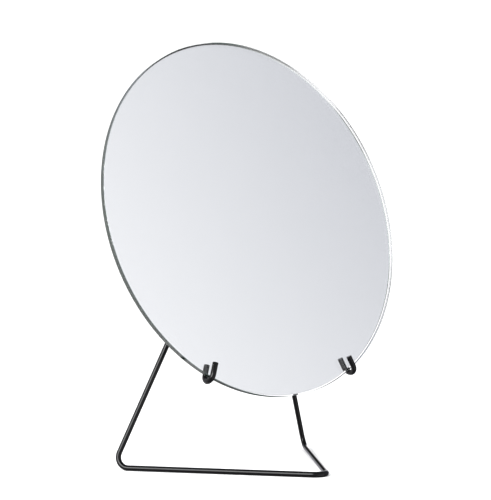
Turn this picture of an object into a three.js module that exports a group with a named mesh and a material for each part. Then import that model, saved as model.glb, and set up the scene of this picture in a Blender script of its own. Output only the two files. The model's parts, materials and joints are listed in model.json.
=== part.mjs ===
// Countertop mirror: a frameless round mirror that leans back in the two hooks of a one-piece bent wire stand.
// Millimetres. X to the right, Y to the back, Z up. The mirror faces -Y, and the table is at Z = 0.
import * as THREE from "three";

// Mirror
const MIRROR_RADIUS = 100;
const GLASS_THICKNESS = 3;
const GLASS_ARRIS = 0.12;
const COAT_MARGIN = 0.8;
const SILVER_THICKNESS = 0.05;
const PAINT_THICKNESS = 0.1;
const COAT_GAP = 0.02;
const DISC_SEGMENTS = 120;

// How the mirror stands
const LEAN_DEG = 12;
const RIM_HEIGHT = 39.5;
const HOOK_ANGLE_DEG = 29.5;

// Wire
const WIRE_DIAMETER = 3;
const WIRE_SIDES = 16;
const BEND_STEP_DEG = 13;

// Hooks: the wire passes behind the glass, under its rim and up in front of it
const ARM_CLEARANCE = 0.3;
const PRONG_CLEARANCE = 0.5;
const SEAT_CLEARANCE = 0.4;
const PRONG_HEIGHT = 5.8;

// Stand: the arms and the legs aim at one point above the mirror's centre, and the base is a V that points forward
const MEETING_HEIGHT = 32;
const TOP_BEND_RADIUS = 5;
const REAR_HALF_WIDTH = 68.4;
const REAR_REACH = 64.5;
const FRONT_REACH = 30.3;
const CORNER_RADIUS = 6;
const FRONT_BEND_RADIUS = 6;

const FINISH = {
  wire: { color: 0x101113, roughness: 0.42, metalness: 0 },
  glass: { color: 0xdfe9e6, roughness: 0.03, metalness: 0 },
  silver: { color: 0xd4d8dc, roughness: 0.05, metalness: 1 },
  paint: { color: 0x6f7476, roughness: 0.6, metalness: 0 },
};

// Depths behind the front face of the glass
const silverNear = GLASS_THICKNESS + COAT_GAP;
const silverFar = silverNear + SILVER_THICKNESS;
const paintNear = silverFar + COAT_GAP;
const paintFar = paintNear + PAINT_THICKNESS;

const wireRadius = WIRE_DIAMETER / 2;
const lean = THREE.MathUtils.degToRad(LEAN_DEG);
const hookAngle = THREE.MathUtils.degToRad(HOOK_ANGLE_DEG);

// The mirror's own directions: up its face, and out of its face towards the viewer
const mirrorUp = new THREE.Vector3(0, Math.sin(lean), Math.cos(lean));
const mirrorOut = new THREE.Vector3(0, -Math.cos(lean), Math.sin(lean));
const faceBottom = new THREE.Vector3(0, 0, RIM_HEIGHT);

// A point given across the mirror, up its face from the bottom of the rim, and out from its front face
function onMirror(across, up, out) {
  return faceBottom.clone()
    .addScaledVector(mirrorUp, up)
    .addScaledVector(mirrorOut, out)
    .setX(across);
}

// One stretch of the wire: stations along its centre line, each with a point, a tangent and a section direction.
// A frame that does not twist carries the section along, so neighbouring stretches share their end faces.
class WireStretch extends THREE.Curve {
  constructor(stations) {
    super();
    this.stations = stations;
  }

  station(u) {
    return this.stations[Math.round(u * (this.stations.length - 1))];
  }

  getPoint(u, target = new THREE.Vector3()) {
    return target.copy(this.station(u).point);
  }

  getPointAt(u, target) {
    return this.getPoint(u, target);
  }

  computeFrenetFrames() {
    const tangents = this.stations.map((s) => s.tangent);
    const normals = this.stations.map((s) => s.normal);
    const binormals = this.stations.map((s) => s.tangent.clone().cross(s.normal));
    return { tangents, normals, binormals };
  }
}

// The arc that rounds the corner at b between a and c
function roundCorner(a, b, c, radius) {
  const into = b.clone().sub(a).normalize();
  const away = c.clone().sub(b).normalize();
  const turn = into.angleTo(away);
  const setback = radius * Math.tan(turn / 2);
  const axis = into.clone().cross(away).normalize();
  const start = b.clone().addScaledVector(into, -setback);
  const centre = start.clone().addScaledVector(axis.clone().cross(into), radius);
  const count = Math.ceil(THREE.MathUtils.radToDeg(turn) / BEND_STEP_DEG);
  return Array.from({ length: count + 1 }, (_, i) => {
    const angle = (turn * i) / count;
    return {
      point: start.clone().sub(centre).applyAxisAngle(axis, angle).add(centre),
      tangent: into.clone().applyAxisAngle(axis, angle),
    };
  });
}

// Carries the section direction from station to station without twist
function carrySection(stations, firstNormal) {
  let last = null;
  for (const s of stations) {
    if (last === null) {
      s.normal = firstNormal.clone();
    } else {
      const turn = new THREE.Quaternion().setFromUnitVectors(last.tangent, s.tangent);
      s.normal = last.normal.clone().applyQuaternion(turn);
    }
    last = s;
  }
  return stations;
}

// Half of the wire, from the middle of the front bend to the tip of one hook. Side is -1 on the left, 1 on the right.
function halfWire(side) {
  const armOut = -(paintFar + ARM_CLEARANCE + wireRadius);
  const prongOut = PRONG_CLEARANCE + wireRadius;
  const hookRadius = (prongOut - armOut) / 2;

  const front = new THREE.Vector3(0, -FRONT_REACH, wireRadius);
  const corner = new THREE.Vector3(side * REAR_HALF_WIDTH, REAR_REACH, wireRadius);
  const meeting = onMirror(0, MIRROR_RADIUS + MEETING_HEIGHT, armOut);

  // Where the rim rests, and how far the glass goes down into the hook's round bottom
  const rimAcross = side * MIRROR_RADIUS * Math.sin(hookAngle);
  const rimUp = MIRROR_RADIUS * (1 - Math.cos(hookAngle));
  const rim = onMirror(rimAcross, rimUp, armOut);
  const inward = meeting.clone().sub(rim).normalize();
  const insideRadius = hookRadius - wireRadius;
  const edgeOffset = insideRadius - PRONG_CLEARANCE;
  const seatDepth = Math.sqrt(insideRadius ** 2 - edgeOffset ** 2) + GLASS_ARRIS - SEAT_CLEARANCE;
  const armFoot = rim.clone().addScaledVector(inward, seatDepth - hookRadius);
  const across = mirrorOut.clone().multiplyScalar(prongOut - armOut);
  const prongFoot = armFoot.clone().add(across);
  const prongTip = prongFoot.clone().addScaledVector(inward, hookRadius + PRONG_HEIGHT);

  const mirrored = new THREE.Vector3(-corner.x, corner.y, corner.z);
  const frontBend = roundCorner(mirrored, front, corner, FRONT_BEND_RADIUS);
  const half = frontBend.slice(Math.floor(frontBend.length / 2));
  const cornerBend = roundCorner(front, corner, meeting, CORNER_RADIUS);
  const topBend = roundCorner(corner, meeting, armFoot, TOP_BEND_RADIUS);
  const hookIn = roundCorner(meeting, armFoot, prongFoot, hookRadius);
  const hookOut = roundCorner(armFoot, prongFoot, prongTip, hookRadius);
  const tip = { point: prongTip, tangent: inward.clone() };

  const hook = [...hookIn, ...hookOut.slice(1), tip];
  carrySection([...half, ...cornerBend, ...topBend, ...hook], new THREE.Vector3(0, 0, 1));
  return {
    frontHalf: half,
    hook,
    arm: [topBend.at(-1), hook[0]],
    top_bend: topBend,
    rear_leg: [cornerBend.at(-1), topBend[0]],
    rear_corner: cornerBend,
    base_runner: [half.at(-1), cornerBend[0]],
  };
}

// The wire's section. Its flats lie at the wire's radius, and one of them faces the table.
function wireSection() {
  const cornerRadius = wireRadius / Math.cos(Math.PI / WIRE_SIDES);
  const points = Array.from({ length: WIRE_SIDES }, (_, i) => {
    const angle = ((i + 0.5) * 2 * Math.PI) / WIRE_SIDES;
    return new THREE.Vector2(cornerRadius * Math.cos(angle), cornerRadius * Math.sin(angle));
  });
  return new THREE.Shape(points);
}

const group = new THREE.Group();
group.name = "countertop_mirror";

function addPiece(name, geometry, finish) {
  const mesh = new THREE.Mesh(geometry, new THREE.MeshStandardMaterial({ name, ...finish }));
  mesh.name = name;
  group.add(mesh);
}

function addWire(name, stations) {
  const geometry = new THREE.ExtrudeGeometry(wireSection(), {
    steps: stations.length - 1,
    bevelEnabled: false,
    extrudePath: new WireStretch(stations),
  });
  addPiece(name, geometry, FINISH.wire);
}

// A disc of the mirror from a closed half profile of radius and depth behind the front face
function addDisc(name, profile, finish) {
  const points = profile.map(([radius, depth]) => new THREE.Vector2(radius, -depth));
  const geometry = new THREE.LatheGeometry(points, DISC_SEGMENTS);
  // The lathe turns about Y, which becomes the way out of the face
  geometry.rotateX(Math.PI - lean);
  const centre = onMirror(0, MIRROR_RADIUS, 0);
  geometry.translate(centre.x, centre.y, centre.z);
  addPiece(name, geometry, finish);
}

function plate(radius, nearDepth, farDepth, arris) {
  return [
    [0, farDepth],
    [radius - arris, farDepth],
    [radius, farDepth - arris],
    [radius, nearDepth + arris],
    [radius - arris, nearDepth],
    [0, nearDepth],
  ];
}

function sheet(radius, nearDepth, farDepth) {
  return [
    [0, farDepth],
    [radius, farDepth],
    [radius, nearDepth],
    [0, nearDepth],
  ];
}

const left = halfWire(-1);
const right = halfWire(1);

for (const stretch of ["hook", "arm", "top_bend", "rear_leg", "rear_corner", "base_runner"]) {
  addWire(`${stretch}_left`, left[stretch]);
  addWire(`${stretch}_right`, right[stretch]);
}

// The front bend joins both halves, so it runs from the left runner round to the right one
const leftHalf = left.frontHalf.map((s) => ({
  point: s.point,
  tangent: s.tangent.clone().negate(),
  normal: s.normal,
}));
addWire("front_bend", [...leftHalf.reverse(), ...right.frontHalf.slice(1)]);

const coatRadius = MIRROR_RADIUS - COAT_MARGIN;
addDisc("mirror_glass", plate(MIRROR_RADIUS, 0, GLASS_THICKNESS, GLASS_ARRIS), FINISH.glass);
addDisc("silver_coating", sheet(coatRadius, silverNear, silverFar), FINISH.silver);
addDisc("backing_paint", sheet(coatRadius, paintNear, paintFar), FINISH.paint);

// The frame's origin is under the middle of the whole object, on the table
const bounds = new THREE.Box3().setFromObject(group);
const middle = bounds.getCenter(new THREE.Vector3());
for (const mesh of group.children) {
  mesh.geometry.translate(-middle.x, -middle.y, -bounds.min.z);
}

export default group;
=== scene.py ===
"""The looks of a countertop mirror: a round silvered glass that leans back in two hooks of a black wire stand.

Everything is in metres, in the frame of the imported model: X to the right, Y to the back, Z up, table at Z = 0.
"""

import json
import math

import bpy
from mathutils import Matrix, Vector


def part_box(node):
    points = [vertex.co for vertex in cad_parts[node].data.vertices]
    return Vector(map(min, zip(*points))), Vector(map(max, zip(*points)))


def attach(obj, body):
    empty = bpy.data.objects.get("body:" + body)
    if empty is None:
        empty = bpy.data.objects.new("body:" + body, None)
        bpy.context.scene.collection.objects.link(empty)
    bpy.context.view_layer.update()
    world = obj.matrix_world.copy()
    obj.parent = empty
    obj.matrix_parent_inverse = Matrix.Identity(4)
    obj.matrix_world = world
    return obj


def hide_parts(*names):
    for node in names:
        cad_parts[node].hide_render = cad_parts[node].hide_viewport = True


MM = 0.001

# Where the camera stands: round the object, above the horizon, and how far from the point it looks at
CAMERA_AZIMUTH = math.radians(-38.82)
CAMERA_ELEVATION = math.radians(-2.638)
CAMERA_ROLL = math.radians(-0.357)
CAMERA_DISTANCE = 619.5 * MM
CAMERA_AIM = Vector((-2.79, 13.28, 118.06)) * MM
CAMERA_LENS = 80.7
CAMERA_SENSOR = 36.0

# Wire
SECTION_SIDES = 56
BEND_STEPS = 40
TIP_ROUNDING = 0.45 * MM
TIP_STATIONS = 7

# Mirror
DISC_SEGMENTS = 384
GLASS_ARRIS = 0.12 * MM
GLASS_IOR = 1.52
SILVER_EDGE = 0.5 * MM

# Edges that turn by more than this stay crisp
WIRE_CREASE = math.radians(50)
GLASS_CREASE = math.radians(30)

# The studio as the glass and the wire reflect it: light walls, and areas of other light laid over them in
# turn, each as its colour, the direction of its middle, and the cosines where it begins and where it is full
WALL_LIGHT = (1.30, 1.28, 1.305)
STUDIO_AREAS = (
    ((0.122, 0.138, 0.21), (0.838, 0.401, 0.369), (-0.18, 1.17)),  # dim room to the upper right
    ((0.84, 0.85, 0.86), (-0.696, -0.696, 0.174), (0.34, 0.71)),  # the side that the camera looks from
    ((0.2, 0.2, 0.2), (0.0, 0.0, 1.0), (0.56, 0.8)),  # ceiling
    ((0.3, 0.3, 0.3), (0.129, -0.224, -0.966), (0.12, 0.42)),  # shaded table
    (WALL_LIGHT, (-0.3, 0.62, -0.72), (0.85, 0.93)),  # lit table behind the mirror
    (WALL_LIGHT, (0.2, -0.90, -0.38), (0.80, 0.90)),  # lit table in front of it
    ((0.12, 0.15, 0.14), (0.62, 0.70, -0.35), (0.955, 0.985)),  # shaded far edge of the table
    (WALL_LIGHT, (0.719, 0.695, 0.07), (0.9135, 0.985)),  # white backdrop
    ((0.02, 0.02, 0.02), (0.538, 0.828, 0.156), (0.982, 0.995)),  # dark gap beside the backdrop
)
PLAIN_WHITE = (1.25, 1.25, 1.25)

# The lamps: a very soft light from straight above that keeps the floor white, and a softbox at the left
FLOOR_LIGHT_POWER = 3.0
FLOOR_LIGHT_SPREAD = math.radians(170)
SOFTBOX_DIRECTION = Vector((-0.88, -0.24, 0.37)).normalized()
SOFTBOX_DISTANCE = 1.3
SOFTBOX_AIM = Vector((0, 0, 0.1))
SOFTBOX_SIZE = (0.9, 0.85)
SOFTBOX_POWER = 34
FLOOR_HALF_WIDTH = 40.0


# ---------------------------------------------------------------- node trees


class Value:
    """An output of a node. Arithmetic with it adds Math nodes to the same tree."""

    def __init__(self, maker, socket):
        self.maker = maker
        self.socket = socket

    def math(self, operation, other):
        return self.maker.add("ShaderNodeMath", {"operation": operation}, {0: self, 1: other})

    def __add__(self, other):
        return self.math("ADD", other)

    __radd__ = __add__

    def __mul__(self, other):
        return self.math("MULTIPLY", other)

    __rmul__ = __mul__

    def __sub__(self, other):
        return self.math("SUBTRACT", other)

    def __rsub__(self, other):
        return (self * -1.0) + other


class NodeMaker:
    """Adds nodes to one shader or geometry tree."""

    def __init__(self, tree):
        self.tree = tree

    def add(self, kind, settings=None, inputs=None, output=0):
        """One node: its settings first, then its sockets' values or links. Returns the named output."""
        node = self.tree.nodes.new(kind)
        for name, value in (settings or {}).items():
            setattr(node, name, value)
        for name, value in (inputs or {}).items():
            socket = node.inputs[name]
            if isinstance(value, Value):
                self.tree.links.new(value.socket, socket)
            else:
                socket.default_value = value
        return Value(self, node.outputs[output]) if node.outputs else None

    def noise(self, coordinates, scale, detail=2.0, roughness=0.5, distortion=0.0):
        """Noise from 0 to 1 with features about 1 / scale across."""
        inputs = {
            "Vector": coordinates,
            "Scale": scale,
            "Detail": detail,
            "Roughness": roughness,
            "Distortion": distortion,
        }
        return self.add("ShaderNodeTexNoise", inputs=inputs)

    def ramp(self, value, low, high):
        """0 below low, 1 above high, and smooth between."""
        settings = {"interpolation_type": "SMOOTHSTEP"}
        inputs = {"Value": value, "From Min": low, "From Max": high}
        return self.add("ShaderNodeMapRange", settings, inputs)

    def mix_colour(self, factor, first, second):
        settings = {"data_type": "RGBA"}
        return self.add("ShaderNodeMix", settings, {0: factor, 6: first, 7: second}, output=2)

    def vector(self, operation, *vectors, output=0):
        inputs = dict(enumerate(vectors))
        return self.add("ShaderNodeVectorMath", {"operation": operation}, inputs, output)

    def bump(self, height, strength, distance):
        inputs = {"Height": height, "Strength": strength, "Distance": distance}
        return self.add("ShaderNodeBump", inputs=inputs)

    def object_coordinates(self):
        return self.add("ShaderNodeTexCoord", output="Object")


def new_finish(name):
    material = bpy.data.materials.new(name)
    material.use_nodes = True
    material.node_tree.nodes.clear()
    return material, NodeMaker(material.node_tree)


def finish_surface(maker, inputs):
    """Ends a material in one Principled surface with these socket values."""
    surface = maker.add("ShaderNodeBsdfPrincipled", inputs=inputs)
    maker.add("ShaderNodeOutputMaterial", inputs={"Surface": surface})


def rgb(red, green, blue):
    return (red, green, blue, 1.0)


# ---------------------------------------------------------------- finishes
# Noise scales are in features per metre, so 1000 gives marks of about a millimetre.


def powder_coat():
    """Glossy black powder coat: fine orange peel, a faint bloom, and rubbed where it stands on the table."""
    material, maker = new_finish("black_powder_coat")
    place = maker.object_coordinates()
    peel = maker.noise(place, 1500.0, detail=2.0, roughness=0.45)
    grain = maker.noise(place, 5200.0, detail=1.0)
    bloom = maker.noise(place, 90.0, detail=4.0, roughness=0.6)
    height_above_table = maker.add("ShaderNodeSeparateXYZ", inputs={0: place}, output=2)
    scuff_marks = maker.ramp(maker.noise(place, 420.0, detail=4.0, roughness=0.7), 0.5, 0.68)
    rubbed = (1 - maker.ramp(height_above_table, 0.15 * MM, 0.6 * MM)) * scuff_marks

    coat = maker.mix_colour(bloom, rgb(0.0012, 0.0012, 0.0015), rgb(0.0030, 0.0030, 0.0034))
    colour = maker.mix_colour(rubbed, coat, rgb(0.045, 0.045, 0.048))
    roughness = 0.045 + bloom * 0.03 + grain * 0.02 + rubbed * 0.25
    skin = maker.bump(peel + grain * 0.1, 0.25, 0.005 * MM)
    finish_surface(
        maker,
        {
            "Base Color": colour,
            "Roughness": roughness,
            "Specular IOR Level": 0.18,
            "Normal": skin,
        },
    )
    return material


def polished_glass():
    """Clear float glass, with the faintest wipe marks."""
    material, maker = new_finish("polished_glass")
    place = maker.object_coordinates()
    wiped = maker.noise(place, 14.0, detail=5.0, roughness=0.65, distortion=1.2)
    roughness = maker.ramp(wiped, 0.62, 0.85) * 0.012
    colour = maker.mix_colour(wiped, rgb(0.975, 0.988, 0.982), rgb(0.985, 0.992, 0.988))
    finish_surface(
        maker,
        {
            "Base Color": colour,
            "Roughness": roughness,
            "IOR": GLASS_IOR,
            "Transmission Weight": 1.0,
        },
    )
    return material


def polished_edge(lean_axis):
    """The rim of the glass, ground and then polished: green in its depth, with fine wheel marks along it."""
    material, maker = new_finish("polished_glass_edge")
    place = maker.object_coordinates()
    depth = maker.vector("DOT_PRODUCT", place, lean_axis, output="Value")
    cloud = maker.noise(place, 160.0, detail=3.0)
    wheel = maker.add(
        "ShaderNodeTexNoise",
        {"noise_dimensions": "1D"},
        {"W": depth + cloud * 0.0001, "Scale": 5200.0, "Detail": 3.0},
    )
    colour = maker.mix_colour(cloud, rgb(0.56, 0.74, 0.65), rgb(0.66, 0.82, 0.74))
    finish_surface(
        maker,
        {
            "Base Color": colour,
            "Roughness": 0.03 + wheel * 0.04,
            "IOR": GLASS_IOR,
            "Transmission Weight": 0.97,
        },
    )
    return material


def silvering(centre, radius):
    """The reflective coat, a shade darker along its edge."""
    material, maker = new_finish("silvering")
    place = maker.object_coordinates()
    distance = maker.vector("LENGTH", maker.vector("SUBTRACT", place, centre), output="Value")
    waver = maker.noise(place, 300.0, detail=2.0) * (0.3 * MM)
    edge = maker.ramp(distance + waver, radius - SILVER_EDGE, radius + SILVER_EDGE / 5)
    cloud = maker.noise(place, 35.0, detail=3.0)
    bright = maker.mix_colour(cloud, rgb(0.925, 0.932, 0.938), rgb(0.935, 0.942, 0.948))
    colour = maker.mix_colour(edge * 0.25, bright, rgb(0.60, 0.61, 0.60))
    finish_surface(
        maker,
        {
            "Base Color": colour,
            "Metallic": 1.0,
            "Roughness": edge * 0.12,
        },
    )
    return material


def backing_paint(across, up):
    """Grey mirror-back paint, run on by a curtain coater: long faint streaks, fine pits and a matt skin."""
    material, maker = new_finish("mirror_back_paint")
    place = maker.object_coordinates()
    streak_place = maker.add(
        "ShaderNodeCombineXYZ",
        inputs={
            0: maker.vector("DOT_PRODUCT", place, across, output="Value") * 260.0,
            1: maker.vector("DOT_PRODUCT", place, up, output="Value") * 9.0,
        },
    )
    streaks = maker.noise(streak_place, 1.0, detail=3.0, roughness=0.6)
    mottle = maker.noise(place, 40.0, detail=5.0, roughness=0.6)
    skin = maker.noise(place, 1100.0, detail=2.0)
    pits = maker.ramp(maker.noise(place, 650.0, detail=1.0), 0.73, 0.8)
    tone = streaks * 0.6 + mottle * 0.4
    painted = maker.mix_colour(tone, rgb(0.115, 0.128, 0.135), rgb(0.175, 0.190, 0.198))
    colour = maker.mix_colour(pits * 0.5, painted, rgb(0.08, 0.09, 0.095))
    height = skin * 0.6 + streaks * 0.5 - pits
    finish_surface(
        maker,
        {
            "Base Color": colour,
            "Roughness": 0.48 + mottle * 0.14 + skin * 0.05,
            "Normal": maker.bump(height, 0.3, 0.04 * MM),
        },
    )
    return material


def pale_floor():
    material, maker = new_finish("pale_floor")
    place = maker.object_coordinates()
    tone = maker.noise(place, 3.0, detail=2.0)
    colour = maker.mix_colour(tone, rgb(0.86, 0.86, 0.86), rgb(0.88, 0.88, 0.88))
    finish_surface(maker, {"Base Color": colour, "Roughness": 0.9, "Specular IOR Level": 0.0})
    return material


# ---------------------------------------------------------------- the wire's route, from its CAD stretches


def node_points(name):
    return [v.co.copy() for v in frame["nodes"][name].data.vertices]


def mean(points):
    return sum(points, Vector()) / len(points)


def straight_ends(name):
    """The two ends of the centre line of a straight stretch."""
    points = node_points(name)
    low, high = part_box(name)
    start = max(points, key=lambda p: (p - (low + high) / 2).length)
    along = [(p - start).length for p in points]
    half = max(along) / 2
    near = [p for p, d in zip(points, along) if d < half]
    far = [p for p, d in zip(points, along) if d >= half]
    return mean(near), mean(far)


def crossing(a, b, c, d):
    """The point where the lines through a, b and c, d meet, or pass closest."""
    u, v, w = b - a, d - c, a - c
    uu, uv, vv, uw, vw = u.dot(u), u.dot(v), v.dot(v), u.dot(w), v.dot(w)
    s = (uv * vw - vv * uw) / (uu * vv - uv * uv)
    return a + u * s


def ordered(name, previous):
    """The ends of a straight stretch, the one nearer to the point before it first."""
    return sorted(straight_ends(name), key=lambda p: (p - previous).length)


def bend_radius(corner, before, after, stretch_end):
    """The centre-line radius of a bend from where its straight stretch ends."""
    turn = (corner - before).angle(after - corner)
    return (corner - stretch_end).length / math.tan(turn / 2)


def half_route(side, mirror_out, wire_radius):
    """Corner points and bend radii from the front bend to the hook's tip on one side."""
    front_point = mean(node_points("front_bend"))
    runner = ordered(f"base_runner_{side}", front_point)
    leg = ordered(f"rear_leg_{side}", runner[1])
    arm = ordered(f"arm_{side}", leg[1])
    corner = crossing(*runner, *leg)
    top = crossing(*leg, *arm)

    inward = (arm[0] - arm[1]).normalized()
    hook = node_points(f"hook_{side}")
    prong_out = max(p.dot(mirror_out) for p in hook) - wire_radius
    hook_width = prong_out - arm[1].dot(mirror_out)
    in_front = [p for p in hook if p.dot(mirror_out) > prong_out]
    tip_height = max(p.dot(inward) for p in in_front)
    foot_height = min(p.dot(inward) for p in hook) + wire_radius
    arm_foot = arm[1] + inward * (foot_height - arm[1].dot(inward))
    prong_foot = arm_foot + mirror_out * hook_width
    tip = prong_foot + inward * (tip_height - foot_height)

    corners = [corner, top, arm_foot, prong_foot]
    radii = [
        bend_radius(corner, runner[0], leg[1], runner[1]),
        bend_radius(top, leg[0], arm[1], leg[1]),
        hook_width / 2,
        hook_width / 2,
    ]
    return runner, corners, radii, tip


def tip_stations(tip, inward, wire_radius):
    """Points and section scales that round the cut end of the wire, from inside to the end face."""
    stations = []
    for i in range(TIP_STATIONS):
        angle = math.pi / 2 * i / (TIP_STATIONS - 1)
        back = TIP_ROUNDING * (1 - math.sin(angle))
        scale = 1 - TIP_ROUNDING / wire_radius * (1 - math.cos(angle))
        stations.append((tip - inward * back, scale))
    return stations


def wire_route(mirror_out, wire_radius):
    """The whole wire as (point, bend radius, section scale), from the left tip to the right tip."""
    halves = {}
    runners = {}
    for side in ("left", "right"):
        runner, corners, radii, tip = half_route(side, mirror_out, wire_radius)
        runners[side] = runner
        inward = (tip - corners[-1]).normalized()
        route = [(p, r, 1.0) for p, r in zip(corners, radii)]
        route += [(p, 0.0, s) for p, s in tip_stations(tip, inward, wire_radius)]
        halves[side] = route
    left, right = runners["left"], runners["right"]
    front = crossing(left[1], left[0], right[0], right[1])
    front_radius = bend_radius(front, left[1], right[1], left[0])
    return [*reversed(halves["left"]), (front, front_radius, 1.0), *halves["right"]]


# ---------------------------------------------------------------- pieces


def link(name, data):
    obj = bpy.data.objects.new(name, data)
    bpy.context.scene.collection.objects.link(obj)
    return obj


def bent_wire_tree():
    """Geometry nodes that round a polyline's corners by their own radii and run a round section along it."""
    tree = bpy.data.node_groups.new("bent_wire", "GeometryNodeTree")
    sockets = {}
    for name, kind in (
        ("Route", "NodeSocketGeometry"),
        ("Wire Radius", "NodeSocketFloat"),
        ("Bend Steps", "NodeSocketInt"),
        ("Section Sides", "NodeSocketInt"),
        ("Coating", "NodeSocketMaterial"),
    ):
        item = tree.interface.new_socket(name, in_out="INPUT", socket_type=kind)
        sockets[name] = item.identifier
    tree.interface.new_socket("Wire", in_out="OUTPUT", socket_type="NodeSocketGeometry")
    group_input = tree.nodes.new("NodeGroupInput")
    maker = NodeMaker(tree)
    given = {name: Value(maker, group_input.outputs[name]) for name in sockets}

    def attribute(name):
        settings = {"data_type": "FLOAT"}
        return maker.add("GeometryNodeInputNamedAttribute", settings, {"Name": name})

    line = maker.add("GeometryNodeMeshToCurve", inputs={"Mesh": given["Route"]})
    rounded = maker.add(
        "GeometryNodeFilletCurve",
        {"mode": "POLY"},
        {"Curve": line, "Count": given["Bend Steps"], "Radius": attribute("bend_radius")},
    )
    sized = maker.add(
        "GeometryNodeSetCurveRadius",
        inputs={"Curve": rounded, "Radius": attribute("section_scale")},
    )
    section = maker.add(
        "GeometryNodeCurvePrimitiveCircle",
        inputs={"Resolution": given["Section Sides"], "Radius": given["Wire Radius"]},
    )
    tube = maker.add(
        "GeometryNodeCurveToMesh",
        inputs={"Curve": sized, "Profile Curve": section, "Fill Caps": True},
    )
    real = maker.add("GeometryNodeRealizeInstances", inputs={"Geometry": tube})
    coated = maker.add(
        "GeometryNodeSetMaterial",
        inputs={"Geometry": real, "Material": given["Coating"]},
    )
    maker.add("NodeGroupOutput", inputs={"Wire": coated})
    return tree, sockets


def make_wire(route, wire_radius, coating):
    """The stand as one continuous bent wire."""
    polyline = bpy.data.meshes.new("wire_route")
    points = [p for p, _, _ in route]
    polyline.from_pydata(points, [(i, i + 1) for i in range(len(points) - 1)], [])
    for name, index in (("bend_radius", 1), ("section_scale", 2)):
        layer = polyline.attributes.new(name, "FLOAT", "POINT")
        layer.data.foreach_set("value", [station[index] for station in route])
    source = link("wire_route", polyline)

    tree, sockets = bent_wire_tree()
    modifier = source.modifiers.new("bent_wire", "NODES")
    modifier.node_group = tree
    for name, value in (
        ("Wire Radius", wire_radius),
        ("Bend Steps", BEND_STEPS),
        ("Section Sides", SECTION_SIDES),
        ("Coating", coating),
    ):
        modifier[sockets[name]] = value
    graph = bpy.context.evaluated_depsgraph_get()
    mesh = bpy.data.meshes.new_from_object(source.evaluated_get(graph))
    source.modifiers.clear()
    bpy.data.objects.remove(source)
    mesh.name = "bent_wire_stand"
    mesh.shade_smooth()
    mesh.set_sharp_from_angle(angle=WIRE_CREASE)
    return link("bent_wire_stand", mesh)


def make_disc(name, face_centre, mirror_out, rings, finishes):
    """A round plate across mirror_out. Each ring is (radius, depth behind the face, finish of the next band)."""
    across = Vector((1, 0, 0))
    up = across.cross(mirror_out) * -1
    points = []
    for radius, depth, _ in rings:
        for i in range(DISC_SEGMENTS):
            angle = 2 * math.pi * i / DISC_SEGMENTS
            outward = across * math.cos(angle) + up * math.sin(angle)
            points.append(face_centre + outward * radius - mirror_out * depth)
    faces = [list(range(DISC_SEGMENTS))]
    slots = [0]
    for ring, (_, _, slot) in enumerate(rings[:-1]):
        first = ring * DISC_SEGMENTS
        for i in range(DISC_SEGMENTS):
            j = (i + 1) % DISC_SEGMENTS
            near = first + i, first + j
            faces.append([near[0], near[0] + DISC_SEGMENTS, near[1] + DISC_SEGMENTS, near[1]])
            slots.append(slot)
    last = (len(rings) - 1) * DISC_SEGMENTS
    faces.append([last + i for i in reversed(range(DISC_SEGMENTS))])
    slots.append(0)
    mesh = bpy.data.meshes.new(name)
    mesh.from_pydata(points, [], faces)
    for finish in finishes:
        mesh.materials.append(finish)
    mesh.polygons.foreach_set("material_index", slots)
    mesh.update()
    mesh.shade_smooth()
    mesh.set_sharp_from_angle(angle=GLASS_CREASE)
    return link(name, mesh)


def depth_span(name, mirror_out):
    """How far a flat node reaches along mirror_out: its back and its front."""
    reach = [p.dot(mirror_out) for p in node_points(name)]
    return min(reach), max(reach)


def width_of(name):
    low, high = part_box(name)
    return high.x - low.x


# ---------------------------------------------------------------- stage


def add_camera():
    """The camera, on a ball head at its azimuth, elevation and roll round the point it looks at."""
    azimuth, elevation = CAMERA_AZIMUTH, CAMERA_ELEVATION
    back = Vector((
        math.sin(azimuth) * math.cos(elevation),
        -math.cos(azimuth) * math.cos(elevation),
        math.sin(elevation),
    ))
    right = Vector((math.cos(azimuth), math.sin(azimuth), 0))
    turn = Matrix((right, back.cross(right), back)).transposed()
    turn = turn @ Matrix.Rotation(CAMERA_ROLL, 3, "Z")
    data = bpy.data.cameras.new("camera")
    data.lens = CAMERA_LENS
    data.sensor_fit = "VERTICAL"
    data.sensor_height = CAMERA_SENSOR
    data.clip_start = 0.01
    data.clip_end = 200
    camera = link("camera", data)
    camera.matrix_world = Matrix.Translation(CAMERA_AIM + back * CAMERA_DISTANCE) @ turn.to_4x4()
    bpy.context.scene.camera = camera


def add_floor():
    """A pale floor that doesn't show in the glass or the wire, which reflect the studio's areas alone."""
    half = FLOOR_HALF_WIDTH
    mesh = bpy.data.meshes.new("floor")
    corners = [(-half, -half, 0), (half, -half, 0), (half, half, 0), (-half, half, 0)]
    mesh.from_pydata(corners, [], [(0, 1, 2, 3)])
    mesh.materials.append(pale_floor())
    floor = link("floor", mesh)
    floor.visible_glossy = False
    floor.visible_transmission = False


def add_softbox():
    """The large lamp at the left that draws the highlight along the wire."""
    data = bpy.data.lights.new("softbox_left", "AREA")
    data.shape = "RECTANGLE"
    data.size, data.size_y = SOFTBOX_SIZE
    data.energy = SOFTBOX_POWER
    lamp = link("softbox_left", data)
    lamp.location = SOFTBOX_AIM + SOFTBOX_DIRECTION * SOFTBOX_DISTANCE
    lamp.rotation_euler = SOFTBOX_DIRECTION.to_track_quat("Z", "Y").to_euler()


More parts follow.
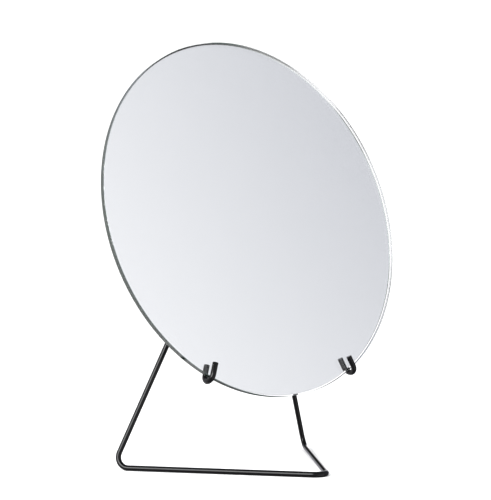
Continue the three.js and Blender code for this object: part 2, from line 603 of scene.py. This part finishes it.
def light_studio():
    """The light of the room all round, as a world colour that depends on the direction alone."""
    world = bpy.data.worlds.new("studio")
    bpy.context.scene.world = world
    world.use_nodes = True
    world.node_tree.nodes.clear()
    maker = NodeMaker(world.node_tree)
    direction = maker.add("ShaderNodeTexCoord", output="Generated")
    studio = rgb(*WALL_LIGHT)
    for light, middle, reach in STUDIO_AREAS:
        nearness = maker.vector("DOT_PRODUCT", direction, Vector(middle).normalized(), output="Value")
        studio = maker.mix_colour(maker.ramp(nearness, *reach), studio, rgb(*light))
    seen_directly = maker.add("ShaderNodeLightPath", output="Is Camera Ray")
    colour = maker.mix_colour(seen_directly, studio, rgb(*PLAIN_WHITE))
    background = maker.add("ShaderNodeBackground", inputs={"Color": colour, "Strength": 1.0})
    maker.add("ShaderNodeOutputWorld", inputs={"Surface": background})


def add_floor_light():
    """The soft light from above. It makes no highlights."""
    data = bpy.data.lights.new("floor_light", "SUN")
    data.energy = FLOOR_LIGHT_POWER
    data.angle = FLOOR_LIGHT_SPREAD
    lamp = link("floor_light", data)
    lamp.visible_glossy = False
    lamp.visible_transmission = False


# ---------------------------------------------------------------- the object


def stand_in(piece, nodes, body):
    """The piece replaces these CAD nodes and rides on their body."""
    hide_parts(*nodes)
    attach(piece, body)


def add_stand(mirror_out):
    """The bent wire. Its runners lie flat on the table, so their height is its thickness."""
    runner_low, runner_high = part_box("base_runner_left")
    wire_radius = (runner_high.z - runner_low.z) / 2
    stand = make_wire(wire_route(mirror_out, wire_radius), wire_radius, powder_coat())
    stretches = [n for n in frame["nodes"] if n in frame["record"]["behaviour"]["bodies"]["wire_stand"]]
    stand_in(stand, stretches, "wire_stand")


def add_glass(face_centre, mirror_out):
    """The clear plate, with a narrow arris ground along both edges of its rim."""
    radius = width_of("mirror_glass") / 2
    back, front = depth_span("mirror_glass", mirror_out)
    thickness = front - back
    rings = [
        (radius - GLASS_ARRIS, 0, 1),
        (radius, GLASS_ARRIS, 1),
        (radius, thickness - GLASS_ARRIS, 1),
        (radius - GLASS_ARRIS, thickness, 1),
    ]
    finishes = [polished_glass(), polished_edge(mirror_out)]
    glass = make_disc("mirror_glass_plate", face_centre, mirror_out, rings, finishes)
    stand_in(glass, ["mirror_glass"], "mirror")


def add_coat(name, node, finish, face_centre, mirror_out):
    """A thin coat behind the glass, at the depth and the width of its CAD node."""
    radius = width_of(node) / 2
    back, front = depth_span(node, mirror_out)
    face = face_centre.dot(mirror_out)
    rings = [(radius, face - front, 0), (radius, face - back, 0)]
    coat = make_disc(name, face_centre, mirror_out, rings, [finish])
    stand_in(coat, [node], "mirror")


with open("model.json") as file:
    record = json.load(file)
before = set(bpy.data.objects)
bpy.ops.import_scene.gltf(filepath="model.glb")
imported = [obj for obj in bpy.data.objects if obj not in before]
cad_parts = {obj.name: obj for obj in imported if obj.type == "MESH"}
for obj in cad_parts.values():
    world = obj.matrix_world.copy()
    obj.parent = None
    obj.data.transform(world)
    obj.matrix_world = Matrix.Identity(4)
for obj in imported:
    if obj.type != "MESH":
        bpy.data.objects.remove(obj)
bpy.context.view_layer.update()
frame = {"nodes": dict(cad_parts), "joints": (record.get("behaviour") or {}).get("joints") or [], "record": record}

lift = next(j for j in frame["joints"] if j["name"] == "mirror_lift")
mirror_up = Vector(lift["axis"]).normalized()
mirror_out = Vector((0, -mirror_up.z, mirror_up.y))
glass_low, glass_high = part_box("mirror_glass")
glass_middle = (glass_low + glass_high) / 2
glass_front = depth_span("mirror_glass", mirror_out)[1]
face_centre = glass_middle + mirror_out * (glass_front - glass_middle.dot(mirror_out))
silver = silvering(face_centre, width_of("silver_coating") / 2)
paint = backing_paint(Vector((1, 0, 0)), mirror_up)

add_stand(mirror_out)
add_glass(face_centre, mirror_out)
add_coat("silvered_face", "silver_coating", silver, face_centre, mirror_out)
add_coat("painted_back", "backing_paint", paint, face_centre, mirror_out)

add_camera()
add_floor()
light_studio()
add_floor_light()
add_softbox()
bpy.context.scene.view_settings.view_transform = "Standard"
